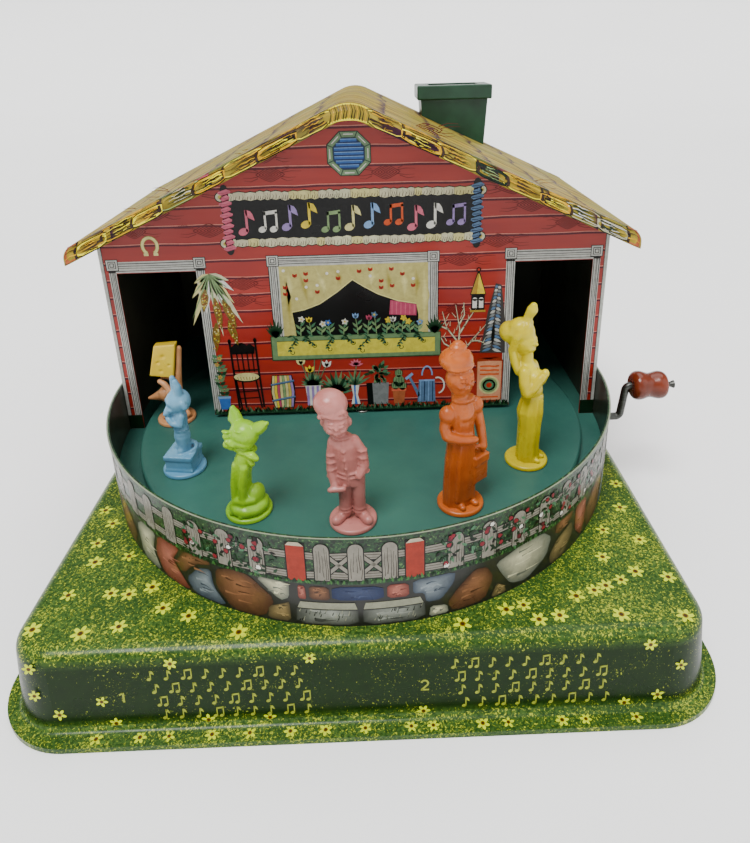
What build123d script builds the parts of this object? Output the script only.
"""Hand-cranked tin music toy: a barn on a grassy tray, with a turntable of moulded figures.

Units are millimetres, +Z is up.  The origin is the turntable's axis where it meets the table.
The barn's printed front faces -Y and the crank stands out on +X.  Turning the crank drives the
turntable through a rubber-tyred friction wheel, and a studded tune drum through a pair of gears.
"""
import os
from math import atan2, cos, degrees, pi, radians, sin, sqrt, tan

from build123d import *

# --- sheet metal -------------------------------------------------------------------------
SHEET = 0.8                 # tinplate, hems included
GAP = 0.05                  # assembly clearance between neighbouring fixed pieces
RUN = 0.06                  # radial clearance of a running fit

# --- base tray ---------------------------------------------------------------------------
TRAY_WIDTH = 254.0
TRAY_DEPTH = 254.0
TRAY_FRONT_Y = -129.0
TRAY_MID_Y = TRAY_FRONT_Y + TRAY_DEPTH / 2
TRAY_CORNER_R = 28.0
FLANGE_TOP_Z = 2.2
FOOT_MARGIN = 6.0           # flange showing outside the tray's wall
TRAY_DRAFT_DEG = 6.4        # lean of the tray's wall
WALL_CORNER_R = 18.0
TRAY_TOP_Z = 32.2
TRAY_TOP_FILLET = 5.0
TRAY_FOOT_FILLET = 2.5
WELL_X, WELL_Y0, WELL_Y1 = 50.0, -44.0, 26.0   # opening that the music movement hangs through

# --- fence, deck and turntable -----------------------------------------------------------
FENCE_R = 111.3             # inner radius
FENCE_TOP_Z = 68.8
FENCE_END_Y = 6.0
DECK_Z = 45.0               # underside
DECK_TOP_Z = DECK_Z + 0.6
DISC_R = 102.0
DISC_TOP_Z = 50.0
DISC_T = 0.6
DISC_UNDER_Z = DISC_TOP_Z - DISC_T
DISC_SKIRT_Z = 46.4
HUB_R = 8.0
HUB_Z = 46.0
PIVOT_R = 2.0

# --- barn --------------------------------------------------------------------------------
BARN_HALF = 111.0
BARN_FRONT_Y = -3.0
BARN_BACK_Y = 105.8
DOOR_IN, DOOR_OUT = 70.0, 104.5
DOOR_TOP_Z = 123.5
PANEL_BOTTOM_Z = 51.6       # the panel between the doors clears the turntable
SIDE_TOP_Z = 141.0
ROOF_SLOPE = 0.475
ROOF_PEAK_Z = 195.2         # where the two slopes would meet
ROOF_HALF = 119.5
ROOF_LIP = 6.5              # depth of the turned-down edge
ROOF_FRONT_Y, ROOF_BACK_Y = -20.0, 109.0
RIDGE_R = 15.0
EAVE_R = 6.0
ROOF_EDGE_R = 4.5
CHIMNEY_X, CHIMNEY_Y = 52.4, 91.5
CHIMNEY_TOP_Z = 193.6
CHIMNEY_CAP = (39.0, 25.0, 7.2)
CHIMNEY_BODY_TOP = (35.0, 21.0)
CHIMNEY_BODY_FOOT = (30.5, 18.5)
CHIMNEY_FOOT_Z = 150.0
CHIMNEY_WALL = 1.6

# --- crank -------------------------------------------------------------------------------
ROD_R = 1.8
SHAFT_Z = 41.5
SHAFT_X0 = -35.0
ARM_X0, ARM_X1 = 125.6, 127.2
ARM_BEND_R = 2.4
HANDLE_Z = SHAFT_Z + 16.7
KNOB_X0, KNOB_LENGTH = 129.6, 16.6
KNOB_LOBE_R, KNOB_WAIST_R = 6.9, 5.9
ROD_END_X = 150.2
PIN_R, PIN_HEAD_R = 1.15, 1.95

# --- friction drive ----------------------------------------------------------------------
WHEEL_R = 7.8
WHEEL_X = 58.5              # 7.5 wheel radii from the turntable's axis
WHEEL_WIDTH = 5.0
WHEEL_HUB_R = 5.4

# --- music movement ----------------------------------------------------------------------
FRAME_X = 30.0              # outer faces of the cheeks
CHEEK_T = 1.2
CHEEK_Y = 15.0
FRAME_BOTTOM_Z = 8.0
FRAME_FRONT_Y = -33.0
EAR_LENGTH = 9.0
MODULE = 0.8
PINION_TEETH, GEAR_TEETH = 12, 30
DRUM_Z = SHAFT_Z - MODULE * (PINION_TEETH + GEAR_TEETH) / 2
GEAR_X0, GEAR_WIDTH = 17.0, 4.0
DRUM_X0, DRUM_X1 = -25.0, 11.0
DRUM_R, STUD_TIP_R = 8.0, 9.5
DRUM_SHAFT_R = 1.5
COMB_TEETH = 14
COMB_T = 1.0
COMB_TIP_Y = -(STUD_TIP_R + 0.4)
COMB_ROOT_Y, COMB_BACK_Y = -21.0, -32.0
COMB_SLIT = 0.4
SCREW_R, SCREW_HEAD_R, SCREW_HEAD_T = 1.25, 2.4, 1.3

# --- figures -----------------------------------------------------------------------------
# Distance from the axis and angle in degrees of each figure's peg, from the right round the front.
FIGURE_PLACES = ((82.9, -33.7), (81.9, -62.4), (80.2, -91.9), (83.7, -120.4), (85.7, -149.8), (88.4, -178.5))
PEG_R = 2.0
PEG_BOTTOM_Z = 46.9
FIGURE_BASE_R, FIGURE_BASE_T = 8.8, 1.8


def box(x0, x1, y0, y1, z0, z1):
    """A box from its limits along each axis."""
    centre = Pos((x0 + x1) / 2, (y0 + y1) / 2, (z0 + z1) / 2)
    return centre * Box(x1 - x0, y1 - y0, z1 - z0)


def upright(x, y, z0, z1, radius):
    """A vertical cylinder between two heights."""
    return Pos(x, y, (z0 + z1) / 2) * Cylinder(radius, z1 - z0)


def lying(x0, x1, y, z, radius):
    """A cylinder along X."""
    return Pos((x0 + x1) / 2, y, z) * Rot(0, 90, 0) * Cylinder(radius, x1 - x0)


def ball(x, y, z, radius):
    return Pos(x, y, z) * Sphere(radius)


def cone(x, y, z0, z1, r0, r1):
    """An upright cone frustum."""
    return Pos(x, y, (z0 + z1) / 2) * Cone(r0, r1, z1 - z0)


def limb(start, end, radius):
    """A round-ended rod between two points."""
    line = Line(start, end)
    rod = extrude(Plane(start, z_dir=line % 0) * Circle(radius), line.length)
    return rod + ball(*start, radius) + ball(*end, radius)


def wall_profile(points, y0, y1):
    """An upright plate facing -Y from its outline in X and Z."""
    face = make_face(Polyline(*[(x, 0, z) for x, z in points], close=True))
    return Pos(0, y0, 0) * extrude(face, amount=y1 - y0, dir=(0, 1, 0))


# --- base --------------------------------------------------------------------------------
def tray_solid(inset):
    """The tray's outer form, or the hollow under it when inset by the sheet's thickness."""
    def plan(margin, corner):
        shrink = 2 * (margin + inset)
        return RectangleRounded(TRAY_WIDTH - shrink, TRAY_DEPTH - shrink, corner - inset)

    top, flange_top = TRAY_TOP_Z - inset, FLANGE_TOP_Z - inset
    flange = extrude(plan(0, TRAY_CORNER_R), flange_top)
    solid = flange + extrude(plan(FOOT_MARGIN, WALL_CORNER_R), top, taper=TRAY_DRAFT_DEG)
    solid = fillet(solid.edges().group_by(Axis.Z)[-1], TRAY_TOP_FILLET - inset)
    reach = TRAY_WIDTH / 2 - inset - FOOT_MARGIN / 2
    at_flange = solid.edges().filter_by_position(Axis.Z, flange_top - 0.05, flange_top + 0.05)
    foot = [e for e in at_flange if max(e.bounding_box().max.X, -e.bounding_box().min.X,
                                        e.bounding_box().max.Y, -e.bounding_box().min.Y) < reach]
    solid = fillet(foot, TRAY_FOOT_FILLET + inset)
    return Pos(0, TRAY_MID_Y, 0) * solid


def base_tray():
    well = box(-WELL_X, WELL_X, WELL_Y0, WELL_Y1, TRAY_TOP_Z - 3, TRAY_TOP_Z + 3)
    well = fillet(well.edges().filter_by(Axis.Z), 6)
    return tray_solid(0) - tray_solid(SHEET) - well


def fence_wall():
    """The printed fence: a half ring with a hemmed rim, its ends lapped over the barn's sides."""
    outer = FENCE_R + SHEET
    wall = upright(0, 0, TRAY_TOP_Z, FENCE_TOP_Z, outer) - upright(0, 0, 0, 90, FENCE_R)
    hem = upright(0, 0, FENCE_TOP_Z - 1.6, FENCE_TOP_Z, outer + 0.4) - upright(0, 0, 0, 90, FENCE_R)
    ring = wall + hem - box(-130, 130, FENCE_END_Y, 130, 0, 100)
    return ring - lying(-130, 130, 0, SHAFT_Z, 2.95)


def stage_deck():
    front = upright(0, 0, DECK_Z, DECK_TOP_Z, FENCE_R - 2 * GAP)
    front -= box(-130, 130, BARN_FRONT_Y, 130, 0, 100)
    back = box(-BARN_HALF + SHEET + GAP, BARN_HALF - SHEET - GAP,
               BARN_FRONT_Y, BARN_BACK_Y - SHEET - GAP, DECK_Z, DECK_TOP_Z)
    deck = front + back
    deck -= upright(0, 0, 40, 50, PIVOT_R + GAP)
    deck -= box(WHEEL_X - 4, WHEEL_X + 4, -8.5, 8.5, 40, 50)
    deck -= box(GEAR_X0 - 1.5, GEAR_X0 + GEAR_WIDTH + 1.5, -7, 7, 40, 50)
    for x, y in ear_screws():
        deck -= upright(x, y, 40, 50, SCREW_R + GAP)
    return deck


# --- barn --------------------------------------------------------------------------------
def roof_inside(x):
    """Height of the roof sheet's underside over x."""
    return ROOF_PEAK_Z - SHEET * sqrt(1 + ROOF_SLOPE ** 2) - ROOF_SLOPE * abs(x)


def gable_top():
    """The two slopes of a gable, a little under the roof sheet, with the ridge's bend cut off."""
    drop, blunt = 0.4, 8.0
    return [(BARN_HALF, roof_inside(BARN_HALF) - drop), (blunt, roof_inside(blunt) - drop),
            (-blunt, roof_inside(blunt) - drop), (-BARN_HALF, roof_inside(BARN_HALF) - drop)]


def barn_front():
    sill = DECK_TOP_Z + GAP
    outline = [(-BARN_HALF, sill), (-DOOR_OUT, sill), (-DOOR_OUT, DOOR_TOP_Z),
               (-DOOR_IN, DOOR_TOP_Z), (-DOOR_IN, PANEL_BOTTOM_Z), (DOOR_IN, PANEL_BOTTOM_Z),
               (DOOR_IN, DOOR_TOP_Z), (DOOR_OUT, DOOR_TOP_Z), (DOOR_OUT, sill), (BARN_HALF, sill)]
    return wall_profile(outline + gable_top(), BARN_FRONT_Y, BARN_FRONT_Y + SHEET)


def barn_back():
    outline = [(-BARN_HALF, TRAY_TOP_Z), (BARN_HALF, TRAY_TOP_Z)]
    return wall_profile(outline + gable_top(), BARN_BACK_Y - SHEET, BARN_BACK_Y)


def barn_side(side):
    """A side wall, pierced for the crank's eyelet or the fence's rivet."""
    x_in, x_out = BARN_HALF - SHEET, BARN_HALF
    wall = box(x_in, x_out, BARN_FRONT_Y + SHEET + GAP, BARN_BACK_Y - SHEET - GAP,
               TRAY_TOP_Z, SIDE_TOP_Z)
    wall -= lying(100, 120, 0, SHAFT_Z, 2.95)
    return wall if side > 0 else mirror(wall, about=Plane.YZ)


def roof_solid(inset, depth_below):
    """The roof's chevron, rounded at the ridge, the eaves and the end edges."""
    half = ROOF_HALF - inset
    peak = ROOF_PEAK_Z - inset * sqrt(1 + ROOF_SLOPE ** 2)
    low = peak - ROOF_SLOPE * half
    points = [(0, peak), (half, low), (half, low - depth_below), (0, peak - depth_below),
              (-half, low - depth_below), (-half, low)]
    face = make_face(Polyline(*[(x, 0, z) for x, z in points], close=True))
    corners = face.vertices()
    face = fillet([v for v in corners if abs(v.X) < 1 and v.Z > peak - 1], RIDGE_R - inset)
    eaves = [v for v in face.vertices() if abs(abs(v.X) - half) < 0.01 and abs(v.Z - low) < 0.01]
    face = fillet(eaves, EAVE_R - inset)
    y0, y1 = ROOF_FRONT_Y + inset, ROOF_BACK_Y - inset
    solid = Pos(0, y0, 0) * extrude(face, amount=y1 - y0, dir=(0, 1, 0))

    def on_top(edge):
        mid = edge.position_at(0.5)
        return mid.Z > peak - ROOF_SLOPE * abs(mid.X) - 3.5

    ends = [e for y in (y0, y1)
            for e in solid.edges().filter_by_position(Axis.Y, y - 0.01, y + 0.01) if on_top(e)]
    return fillet(ends, ROOF_EDGE_R - inset)


def roof():
    return roof_solid(0, ROOF_LIP) - roof_solid(SHEET, ROOF_LIP + 12)


def chimney():
    cap_w, cap_d, cap_h = CHIMNEY_CAP
    cap_z = CHIMNEY_TOP_Z - cap_h
    cap = box(-cap_w / 2, cap_w / 2, -cap_d / 2, cap_d / 2, cap_z, CHIMNEY_TOP_Z)
    cap = fillet(cap.edges(), 0.8)
    mouth = box(-13, 13, -7, 7, CHIMNEY_TOP_Z - 2.5, CHIMNEY_TOP_Z + 1)
    body = loft([Pos(0, 0, CHIMNEY_FOOT_Z) * Rectangle(*CHIMNEY_BODY_FOOT),
                 Pos(0, 0, cap_z + 0.5) * Rectangle(*CHIMNEY_BODY_TOP)])
    shrink = 2 * CHIMNEY_WALL
    core = loft([Pos(0, 0, z) * Rectangle(w - shrink, d - shrink)
                 for z, (w, d) in ((CHIMNEY_FOOT_Z - 1, CHIMNEY_BODY_FOOT),
                                   (cap_z + 2.5, CHIMNEY_BODY_TOP))])
    stack = Pos(CHIMNEY_X, CHIMNEY_Y, 0) * (cap + body - core - mouth)
    lean = degrees(atan2(ROOF_SLOPE, 1))
    below = box(-200, 200, -60, 60, -100, 0)
    return stack - Pos(0, CHIMNEY_Y, ROOF_PEAK_Z + GAP) * Rot(0, lean, 0) * below


# --- crank and friction drive ------------------------------------------------------------
def crank_rod():
    """One bent rod: shaft, arm and handle pin, with a flared end that keeps the knob on."""
    pin_x = KNOB_X0 + KNOB_LENGTH + 0.9
    path = FilletPolyline((SHAFT_X0, 0, SHAFT_Z), (ARM_X0, 0, SHAFT_Z), (ARM_X1, 0, HANDLE_Z),
                          (pin_x, 0, HANDLE_Z), radius=ARM_BEND_R)
    rod = sweep(Plane(path @ 0, z_dir=path % 0) * Circle(ROD_R), path)
    neck = lying(pin_x - 0.5, ROD_END_X, 0, HANDLE_Z, PIN_R)
    flare = Pos(ROD_END_X - 1.0, 0, HANDLE_Z) * Rot(0, 90, 0) * Cone(PIN_R, PIN_HEAD_R, 2.0)
    return rod + neck + flare


def crank_knob():
    """A turned two-lobed knob, free to spin on the handle pin."""
    end, r, w = KNOB_LENGTH, KNOB_LOBE_R, KNOB_WAIST_R
    half = Spline((0, r - 2.2), (1.6, r - 0.3), (4.6, r), (end / 2, w), (end - 4.4, r - 0.25),
                  (end - 1.5, r - 0.6), (end, r - 2.4))
    outline = half + Line((end, r - 2.4), (end, 0)) + Line((end, 0), (0, 0)) + Line((0, 0), (0, r - 2.2))
    solid = revolve(make_face(outline), Axis.X)
    knob = Pos(KNOB_X0, 0, HANDLE_Z) * solid
    return knob - lying(KNOB_X0 - 5, KNOB_X0 + end + 5, 0, HANDLE_Z, ROD_R + RUN)


def shaft_ring(x, width, radius, bore):
    return lying(x, x + width, 0, SHAFT_Z, radius) - lying(x - 1, x + width + 1, 0, SHAFT_Z, bore)


def crank_eyelet():
    """The flanged eyelet that carries the crank and pins the fence to the barn's right side."""
    barrel = lying(BARN_HALF - SHEET - 0.9, FENCE_R + SHEET + 0.9, 0, SHAFT_Z, 2.9)
    inner = lying(BARN_HALF - SHEET - 0.9, BARN_HALF - SHEET - GAP, 0, SHAFT_Z, 3.4)
    outer = lying(FENCE_R + SHEET + GAP, FENCE_R + SHEET + 0.9, 0, SHAFT_Z, 4.4)
    return barrel + inner + outer - lying(90, 130, 0, SHAFT_Z, ROD_R + RUN)


def fence_rivet():
    """A domed rivet on the left side, where the right side has the crank's eyelet."""
    barrel = lying(-FENCE_R - SHEET - 0.4, -BARN_HALF + SHEET + 0.9, 0, SHAFT_Z, 2.9)
    inner = lying(-BARN_HALF + SHEET + GAP, -BARN_HALF + SHEET + 0.9, 0, SHAFT_Z, 3.4)
    outer = lying(-FENCE_R - SHEET - 1.2, -FENCE_R - SHEET - GAP, 0, SHAFT_Z, 4.4)
    return barrel + inner + fillet(outer.edges().group_by(Axis.X)[0], 0.8)


def wheel_hub():
    barrel = shaft_ring(WHEEL_X - WHEEL_WIDTH / 2, WHEEL_WIDTH, WHEEL_HUB_R, ROD_R)
    return barrel + shaft_ring(WHEEL_X - WHEEL_WIDTH / 2 - 3, 3.2, 3.2, ROD_R)


def wheel_tyre():
    tyre = shaft_ring(WHEEL_X - WHEEL_WIDTH / 2, WHEEL_WIDTH, WHEEL_R, WHEEL_HUB_R)
    rims = tyre.edges().filter_by(GeomType.CIRCLE).sort_by(lambda e: e.radius)[-2:]
    return fillet(rims, 0.8)


# --- gears -------------------------------------------------------------------------------
def gear(teeth, width, first_tooth_deg):
    """A straight-flanked spur gear about Z, slim enough in the tooth to run with play."""
    pitch_r = MODULE * teeth / 2
    root_r, tip_r = pitch_r - 1.15 * MODULE, pitch_r + 0.85 * MODULE
    half = pi / (2 * teeth) - 0.13 / pitch_r
    lean = tan(radians(22)) / pitch_r
    angles = [(root_r, half + lean * (pitch_r - root_r)), (tip_r, half - lean * (tip_r - pitch_r))]
    points = []
    for i in range(teeth):
        mid = radians(first_tooth_deg) + 2 * pi * i / teeth
        for r, a in ((angles[0][0], -angles[0][1]), (angles[1][0], -angles[1][1]),
                     (angles[1][0], angles[1][1]), (angles[0][0], angles[0][1])):
            points.append((r * cos(mid + a), r * sin(mid + a)))
    return extrude(make_face(Polyline(*points, close=True)), width)


def along_x(shape, x, z):
    """Turns a piece built about Z so that its axis lies along X, its own +Y pointing up."""
    return Pos(x, 0, z) * Rot(0, 0, 90) * Rot(90, 0, 0) * shape


def drive_pinion():
    """Twelve teeth, with a gap facing straight down into the drum gear."""
    wheel = gear(PINION_TEETH, GEAR_WIDTH, -90 + 180 / PINION_TEETH)
    wheel = along_x(wheel, GEAR_X0, SHAFT_Z) + shaft_ring(GEAR_X0 + GEAR_WIDTH, 3, 3.2, ROD_R)
    return wheel - lying(0, 60, 0, SHAFT_Z, ROD_R)


def drum_gear():
    """Thirty teeth, with one pointing straight up into the pinion, on a lightened web."""
    wheel = gear(GEAR_TEETH, GEAR_WIDTH, 90)
    for i in range(5):
        wheel -= Rot(0, 0, 72 * i) * Pos(6.4, 0, GEAR_WIDTH / 2) * Cylinder(1.7, GEAR_WIDTH + 1)
    wheel = along_x(wheel, GEAR_X0, DRUM_Z)
    return wheel - lying(0, 60, 0, DRUM_Z, DRUM_SHAFT_R)


# --- music movement ----------------------------------------------------------------------
def ear_screws():
    """Where the four frame screws pass through the deck."""
    x = FRAME_X + EAR_LENGTH * 0.55
    return [(sx * x, y) for sx in (-1, 1) for y in (-10.0, 10.0)]


def movement_frame():
    """A folded U of steel with ears that screw up under the deck."""
    frame = box(-FRAME_X, FRAME_X, FRAME_FRONT_Y, CHEEK_Y, FRAME_BOTTOM_Z, FRAME_BOTTOM_Z + CHEEK_T)
    top = DECK_Z - GAP
    for s in (-1, 1):
        inner, outer = sorted((s * FRAME_X, s * (FRAME_X - CHEEK_T)))
        frame += box(inner, outer, -CHEEK_Y, CHEEK_Y, FRAME_BOTTOM_Z, top)
        ear = sorted((s * (FRAME_X - CHEEK_T), s * (FRAME_X + EAR_LENGTH)))
        frame += box(ear[0], ear[1], -CHEEK_Y, CHEEK_Y, top - CHEEK_T, top)
    for x, y in ear_screws():
        frame -= upright(x, y, 40, 50, SCREW_R + GAP)
    for x in (-FRAME_X, FRAME_X):
        frame -= lying(x - 4, x + 4, 0, SHAFT_Z, ROD_R + RUN)
        frame -= lying(x - 4, x + 4, 0, DRUM_Z, DRUM_SHAFT_R + RUN)
    for x in comb_screw_x():
        frame -= upright(x, comb_screw_y(), FRAME_BOTTOM_Z - 1, FRAME_BOTTOM_Z + 3, SCREW_R + GAP)
    return frame


def screw(x, y, head_z, tip_z):
    """A pan-head screw with its head up and a cross-cut slot."""
    head = upright(x, y, head_z, head_z + SCREW_HEAD_T, SCREW_HEAD_R)
    head = fillet(head.edges().group_by(Axis.Z)[-1], 0.5)
    slot = box(x - 3, x + 3, y - 0.3, y + 0.3, head_z + 0.6, head_z + 2)
    return head - slot + upright(x, y, tip_z, head_z + 0.1, SCREW_R)


def group(solids):
    return Compound(children=list(solids))


def frame_screws():
    return group(screw(x, y, DECK_TOP_Z + GAP, DECK_Z - 5) for x, y in ear_screws())


def comb_screw_x():
    mid = (DRUM_X0 + DRUM_X1) / 2
    return (mid - 12.0, mid, mid + 12.0)


def comb_screw_y():
    return (COMB_ROOT_Y + COMB_BACK_Y) / 2 - 1.0


def comb_bridge():
    """The block that holds the comb level with the drum's axis."""
    block = box(DRUM_X0 - 1, DRUM_X1 + 1, COMB_BACK_Y, COMB_ROOT_Y - 1.5,
                FRAME_BOTTOM_Z + CHEEK_T + GAP, DRUM_Z - COMB_T)
    for x in comb_screw_x():
        block -= upright(x, comb_screw_y(), 0, 60, SCREW_R + GAP)
    return block


def tone_comb():
    """A steel comb whose teeth shorten from the low notes to the high ones."""
    comb = box(DRUM_X0, DRUM_X1, COMB_BACK_Y, COMB_TIP_Y, DRUM_Z - COMB_T + GAP, DRUM_Z)
    pitch = (DRUM_X1 - DRUM_X0) / COMB_TEETH
    for i in range(1, COMB_TEETH):
        x = DRUM_X0 + i * pitch
        root = COMB_ROOT_Y + 5.0 * i / COMB_TEETH
        comb -= box(x - COMB_SLIT / 2, x + COMB_SLIT / 2, root, 0, 0, 60)
    for x in comb_screw_x():
        comb -= upright(x, comb_screw_y(), 0, 60, SCREW_R + GAP)
    return comb


def comb_screws():
    return group(screw(x, comb_screw_y(), DRUM_Z + GAP, FRAME_BOTTOM_Z + 0.1) for x in comb_screw_x())


def tune_drum():
    """A moulded drum with rows of studs, one track for each tooth of the comb."""
    drum = lying(DRUM_X0, DRUM_X1, 0, DRUM_Z, DRUM_R) - lying(-60, 60, 0, DRUM_Z, DRUM_SHAFT_R)
    pitch = (DRUM_X1 - DRUM_X0) / COMB_TEETH
    stud = box(-0.5, 0.5, -0.45, 0.45, DRUM_R - 0.6, STUD_TIP_R)
    for i in range(COMB_TEETH):
        x = DRUM_X0 + (i + 0.5) * pitch
        for k in range(3):
            turn = 120 * k + (i * 67) % 110
            drum += Pos(x, 0, DRUM_Z) * Rot(turn, 0, 0) * stud
    return drum


def drum_shaft():
    return lying(-FRAME_X - 2.5, FRAME_X + 2.5, 0, DRUM_Z, DRUM_SHAFT_R)


def drum_clips():
    """Spring clips that keep the drum shaft between the cheeks."""
    clips = []
    for s in (-1, 1):
        x0, x1 = sorted((s * (FRAME_X + 0.3), s * (FRAME_X + 1.1)))
        clips.append(lying(x0, x1, 0, DRUM_Z, 3.2) - lying(x0 - 1, x1 + 1, 0, DRUM_Z, DRUM_SHAFT_R))
    return group(clips)


def shaft_clips():
    """Spring clips just inside the two cheeks, which stop the crank sliding out."""
    inside = FRAME_X - CHEEK_T - 0.3
    return group([shaft_ring(-inside, 0.9, 3.2, ROD_R), shaft_ring(inside - 0.9, 0.9, 3.2, ROD_R)])


# --- turntable ---------------------------------------------------------------------------
def turntable_disc():
    disc = upright(0, 0, DISC_SKIRT_Z, DISC_TOP_Z, DISC_R)
    disc = fillet(disc.edges().group_by(Axis.Z)[-1], 1.2)
    disc -= upright(0, 0, 0, DISC_UNDER_Z, DISC_R - SHEET)
    disc -= upright(0, 0, 0, 60, PIVOT_R + 0.3)
    for radius, turn in FIGURE_PLACES:
        disc -= Rot(0, 0, turn) * upright(radius, 0, 0, 60, PEG_R + GAP)
    return disc


def turntable_hub():
    return upright(0, 0, HUB_Z, DISC_UNDER_Z, HUB_R) - upright(0, 0, 0, 60, PIVOT_R + RUN)


def pivot_rivet():
    """The low-headed rivet that the turntable turns on, swaged under the deck."""
    shank = upright(0, 0, DECK_Z - 0.8, DISC_TOP_Z + 0.2, PIVOT_R)
    head = upright(0, 0, DISC_TOP_Z + 0.1, DISC_TOP_Z + 0.9, 3.4)
    head = fillet(head.edges().group_by(Axis.Z)[-1], 0.5)
    return shank + head + upright(0, 0, DECK_Z - 0.8, DECK_Z - GAP, 3.6)


def pivot_washer():
    ring = upright(0, 0, DECK_TOP_Z + 0.02, HUB_Z - 0.06, 6.5)
    return ring - upright(0, 0, 0, 60, PIVOT_R + GAP)


def figure_push_nuts():
    """Toothed push-on nuts that hold the figures' pegs under the turntable."""
    nuts = []
    for radius, turn in FIGURE_PLACES:
        nut = upright(radius, 0, DISC_UNDER_Z - 1.0, DISC_UNDER_Z - GAP, 4.2)
        nut -= upright(radius, 0, 0, 60, PEG_R)
        nuts.append(Rot(0, 0, turn) * nut)
    return group(nuts)


# --- figures, each built facing +X over the origin of its own base ------------------------
def figure_base():
    disc = upright(0, 0, 0, FIGURE_BASE_T, FIGURE_BASE_R)
    disc = fillet(disc.edges().group_by(Axis.Z)[-1], 0.5)
    peg = upright(0, 0, PEG_BOTTOM_Z - DISC_TOP_Z - GAP, 0.2, PEG_R)
    return disc + peg


def tall_woman():
    """The yellow figure: a woman in a long dress and bonnet, leaning back from the waist."""
    body = cone(0.6, 0, 1, 32, 5.3, 4.2) + ball(-0.2, 0, 24, 5.0) + ball(0.2, 0, 38, 5.0)
    body += cone(-0.6, 0, 30, 45, 4.6, 3.0) + limb((-1.4, 0, 43), (-2.6, 0, 51), 2.4)
    arms = limb((-0.6, -4.8, 41), (4.8, -1.6, 40), 2.2) + limb((-0.6, 4.8, 41), (4.8, 1.6, 40), 2.2)
    head = ball(-3.2, 0, 54.5, 5.2) + ball(-4.4, 0, 57.6, 5.0) + ball(-9.4, 0, 57, 4.8)
    return body + arms + head + limb((-2.6, 0, 61), (-0.8, 0, 67.6), 2.0)


def apron_woman():
    """The orange figure: a woman with a topknot and puffed sleeves who carries a bag."""
    body = cone(0, 0, 1, 33, 6.6, 5.0) + cone(0.1, -0.2, 31, 49, 5.3, 2.4)
    body += ball(0.2, -6.1, 41.5, 3.3) + ball(0.2, 6.3, 41.3, 3.1)
    body += ball(0.6, -1.4, 52.5, 5.6) + ball(-0.6, -2.2, 59.4, 5.9) + ball(-0.5, -1.8, 65.0, 2.5)
    body += limb((0.3, -6.2, 42), (0.9, -7.0, 32), 2.0) + limb((0.9, -7.0, 32), (5.4, 0.4, 30.6), 1.8)
    body += limb((0.3, 6.1, 41), (2.0, 7.6, 26), 2.0)
    return body + box(-0.4, 5.2, 2.4, 9.4, 10.6, 21.9)


def child():
    """The pink figure: a child in a cap, arms at the sides."""
    legs = limb((0, -2.6, 3), (0, -2.5, 21), 2.5) + limb((0, 2.6, 3), (0, 2.3, 21), 2.5)
    shoes = limb((0, -3.2, 3), (3.6, -5.4, 3), 1.9) + limb((0, 3.2, 3), (3.6, 5.4, 3), 1.9)
    body = cone(0, -1, 19, 37, 5.0, 3.6) + limb((0, -1.6, 35), (0.6, -3.2, 40), 2.4)
    arms = limb((0, -5.2, 34.2), (1.4, -6.4, 19), 2.1) + limb((0, 1.6, 34.4), (1.6, 4.8, 22), 2.1)
    head = ball(1.0, -4.0, 42.4, 5.0) + ball(0.2, -5.6, 49.2, 6.1)
    return legs + shoes + body + arms + head


def cat():
    """The green figure: a sitting cat with a bow and its tail round its feet."""
    body = cone(0.4, 0.4, 1.5, 30, 5.0, 3.2) + ball(-1.2, 0.2, 7.3, 5.3)
    tail = limb((2.0, 5.0, 3.6), (5.0, 0.4, 3.6), 2.1) + limb((5.0, 0.4, 3.6), (2.0, -4.4, 3.6), 2.1)
    bow = limb((2.0, -1.6, 27.6), (2.0, 6.4, 27.6), 1.8)
    head = ball(0.6, 2.6, 35, 5.9) + limb((1.6, 1.6, 33.0), (5.0, 0.2, 32.4), 2.3)
    ears = cone(-0.8, -0.6, 36.6, 43.0, 2.5, 1.0) + cone(-1.0, 6.6, 36.4, 42.4, 2.6, 1.0)
    return body + tail + bow + head + ears


def block_mouse():
    """The blue figure: a mouse that stands on a block with its paws to its mouth."""
    block = Rot(0, 0, -39) * box(-6.1, 6.1, -6.1, 6.1, 1.5, 8.9)
    legs = cone(-0.6, 0, 8, 19, 3.6, 3.3)
    body = ball(-0.5, 0, 19.6, 3.8) + cone(-0.6, 0, 20, 27, 3.2, 3.9) + ball(-0.4, 0, 26.5, 3.8)
    arms = limb((0.6, -3.6, 24), (4.0, 0.2, 24.6), 1.4) + limb((0.6, 3.6, 24), (4.0, 0.2, 24.6), 1.4)
    head = ball(-1.3, 0, 31.6, 5.1) + limb((1.4, 0, 29.4), (4.4, 0, 27.2), 1.5)
    ears = cone(-0.6, -1.9, 34, 42.2, 1.9, 1.1) + cone(-0.6, 1.9, 34, 42.2, 1.9, 1.1)
    return block + legs + body + arms + head + ears


def cheese_mouse():
    """The tan figure: a mouse with a pointed nose, its paws raised under the cheese it carries."""
    body = cone(-1.0, 0, 1.5, 16, 4.6, 3.6) + ball(2.6, 0, 13.6, 4.2)
    snout = limb((4.6, 0, 13.2), (9.0, 0, 12.1), 1.7) + limb((8.0, 0, 12.3), (11.0, 0, 11.7), 1.1)
    arms = limb((-0.8, -4.0, 13), (3.2, -3.2, 20.6), 1.4) + limb((-0.8, 4.0, 13), (3.2, 3.2, 20.6), 1.4)
    post = limb((-1.7, 0, 14), (-5.8, 0, 36.8), 1.3)
    return body + snout + arms + post


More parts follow.
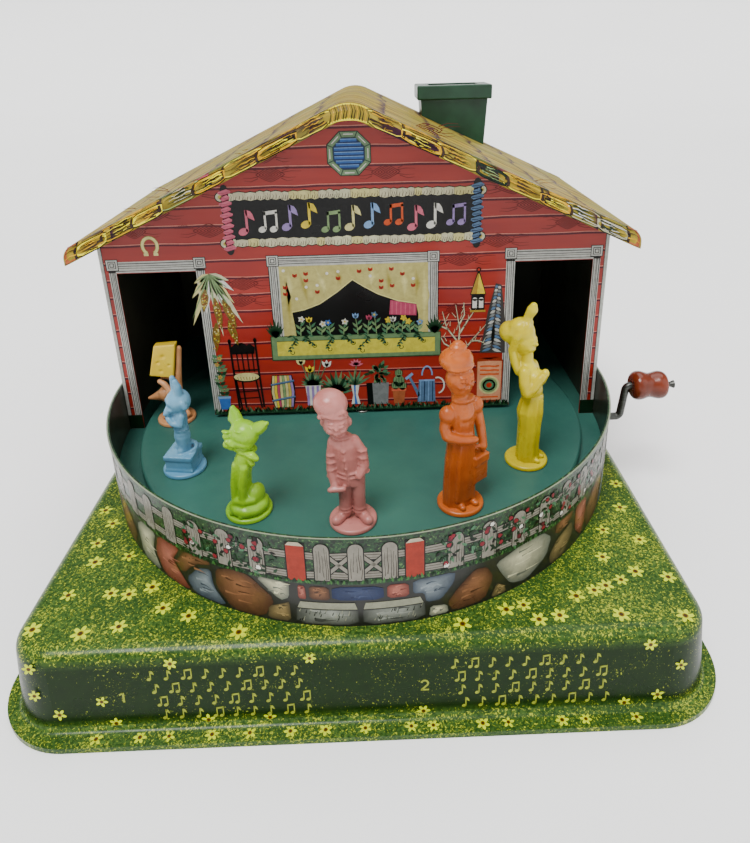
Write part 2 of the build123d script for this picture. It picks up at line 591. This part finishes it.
def cheese():
    """The slab of cheese that leans back over the mouse's paws and lies against the post."""
    outline = [(5.0, 39.0), (-4.7, 39.4), (-1.7, 22.6), (8.9, 24.2)]
    slab = wall_profile(outline, -2.4, 2.4)
    return fillet(slab.edges().filter_by(Axis.Y), 0.8)


def place_figure(shape, index):
    """Puts a figure on its place on the turntable, facing outwards."""
    radius, turn = FIGURE_PLACES[index]
    return Rot(0, 0, turn) * Pos(radius, 0, DISC_TOP_Z + GAP) * shape


def figures():
    makers = {"figure_yellow_woman": tall_woman, "figure_orange_woman": apron_woman,
              "figure_pink_child": child, "figure_green_cat": cat,
              "figure_blue_mouse": block_mouse, "figure_tan_mouse": cheese_mouse}
    placed = {name: place_figure(figure_base() + make(), i)
              for i, (name, make) in enumerate(makers.items())}
    placed["cheese_wedge"] = place_figure(cheese(), 5)
    return placed


def all_parts():
    parts = {
        "base_tray": base_tray(), "fence_wall": fence_wall(), "stage_deck": stage_deck(),
        "barn_front": barn_front(), "barn_back": barn_back(),
        "barn_side_left": barn_side(-1), "barn_side_right": barn_side(1),
        "roof": roof(), "chimney": chimney(),
        "crank_rod": crank_rod(), "crank_knob": crank_knob(), "crank_eyelet": crank_eyelet(),
        "fence_rivet": fence_rivet(), "shaft_clips": shaft_clips(),
        "wheel_hub": wheel_hub(), "wheel_tyre": wheel_tyre(),
        "drive_pinion": drive_pinion(), "drum_gear": drum_gear(), "tune_drum": tune_drum(),
        "drum_shaft": drum_shaft(), "drum_clips": drum_clips(),
        "movement_frame": movement_frame(), "frame_screws": frame_screws(),
        "comb_bridge": comb_bridge(), "tone_comb": tone_comb(), "comb_screws": comb_screws(),
        "turntable_disc": turntable_disc(), "turntable_hub": turntable_hub(),
        "pivot_rivet": pivot_rivet(), "pivot_washer": pivot_washer(),
        "figure_push_nuts": figure_push_nuts(),
    }
    parts.update(figures())
    return parts


if __name__ == "__main__":
    os.makedirs("parts", exist_ok=True)
    for node, shape in all_parts().items():
        export_step(shape, f"parts/{node}.step")
        print(node, len(shape.solids()), "solids", round(sum(s.volume for s in shape.solids()), 1))
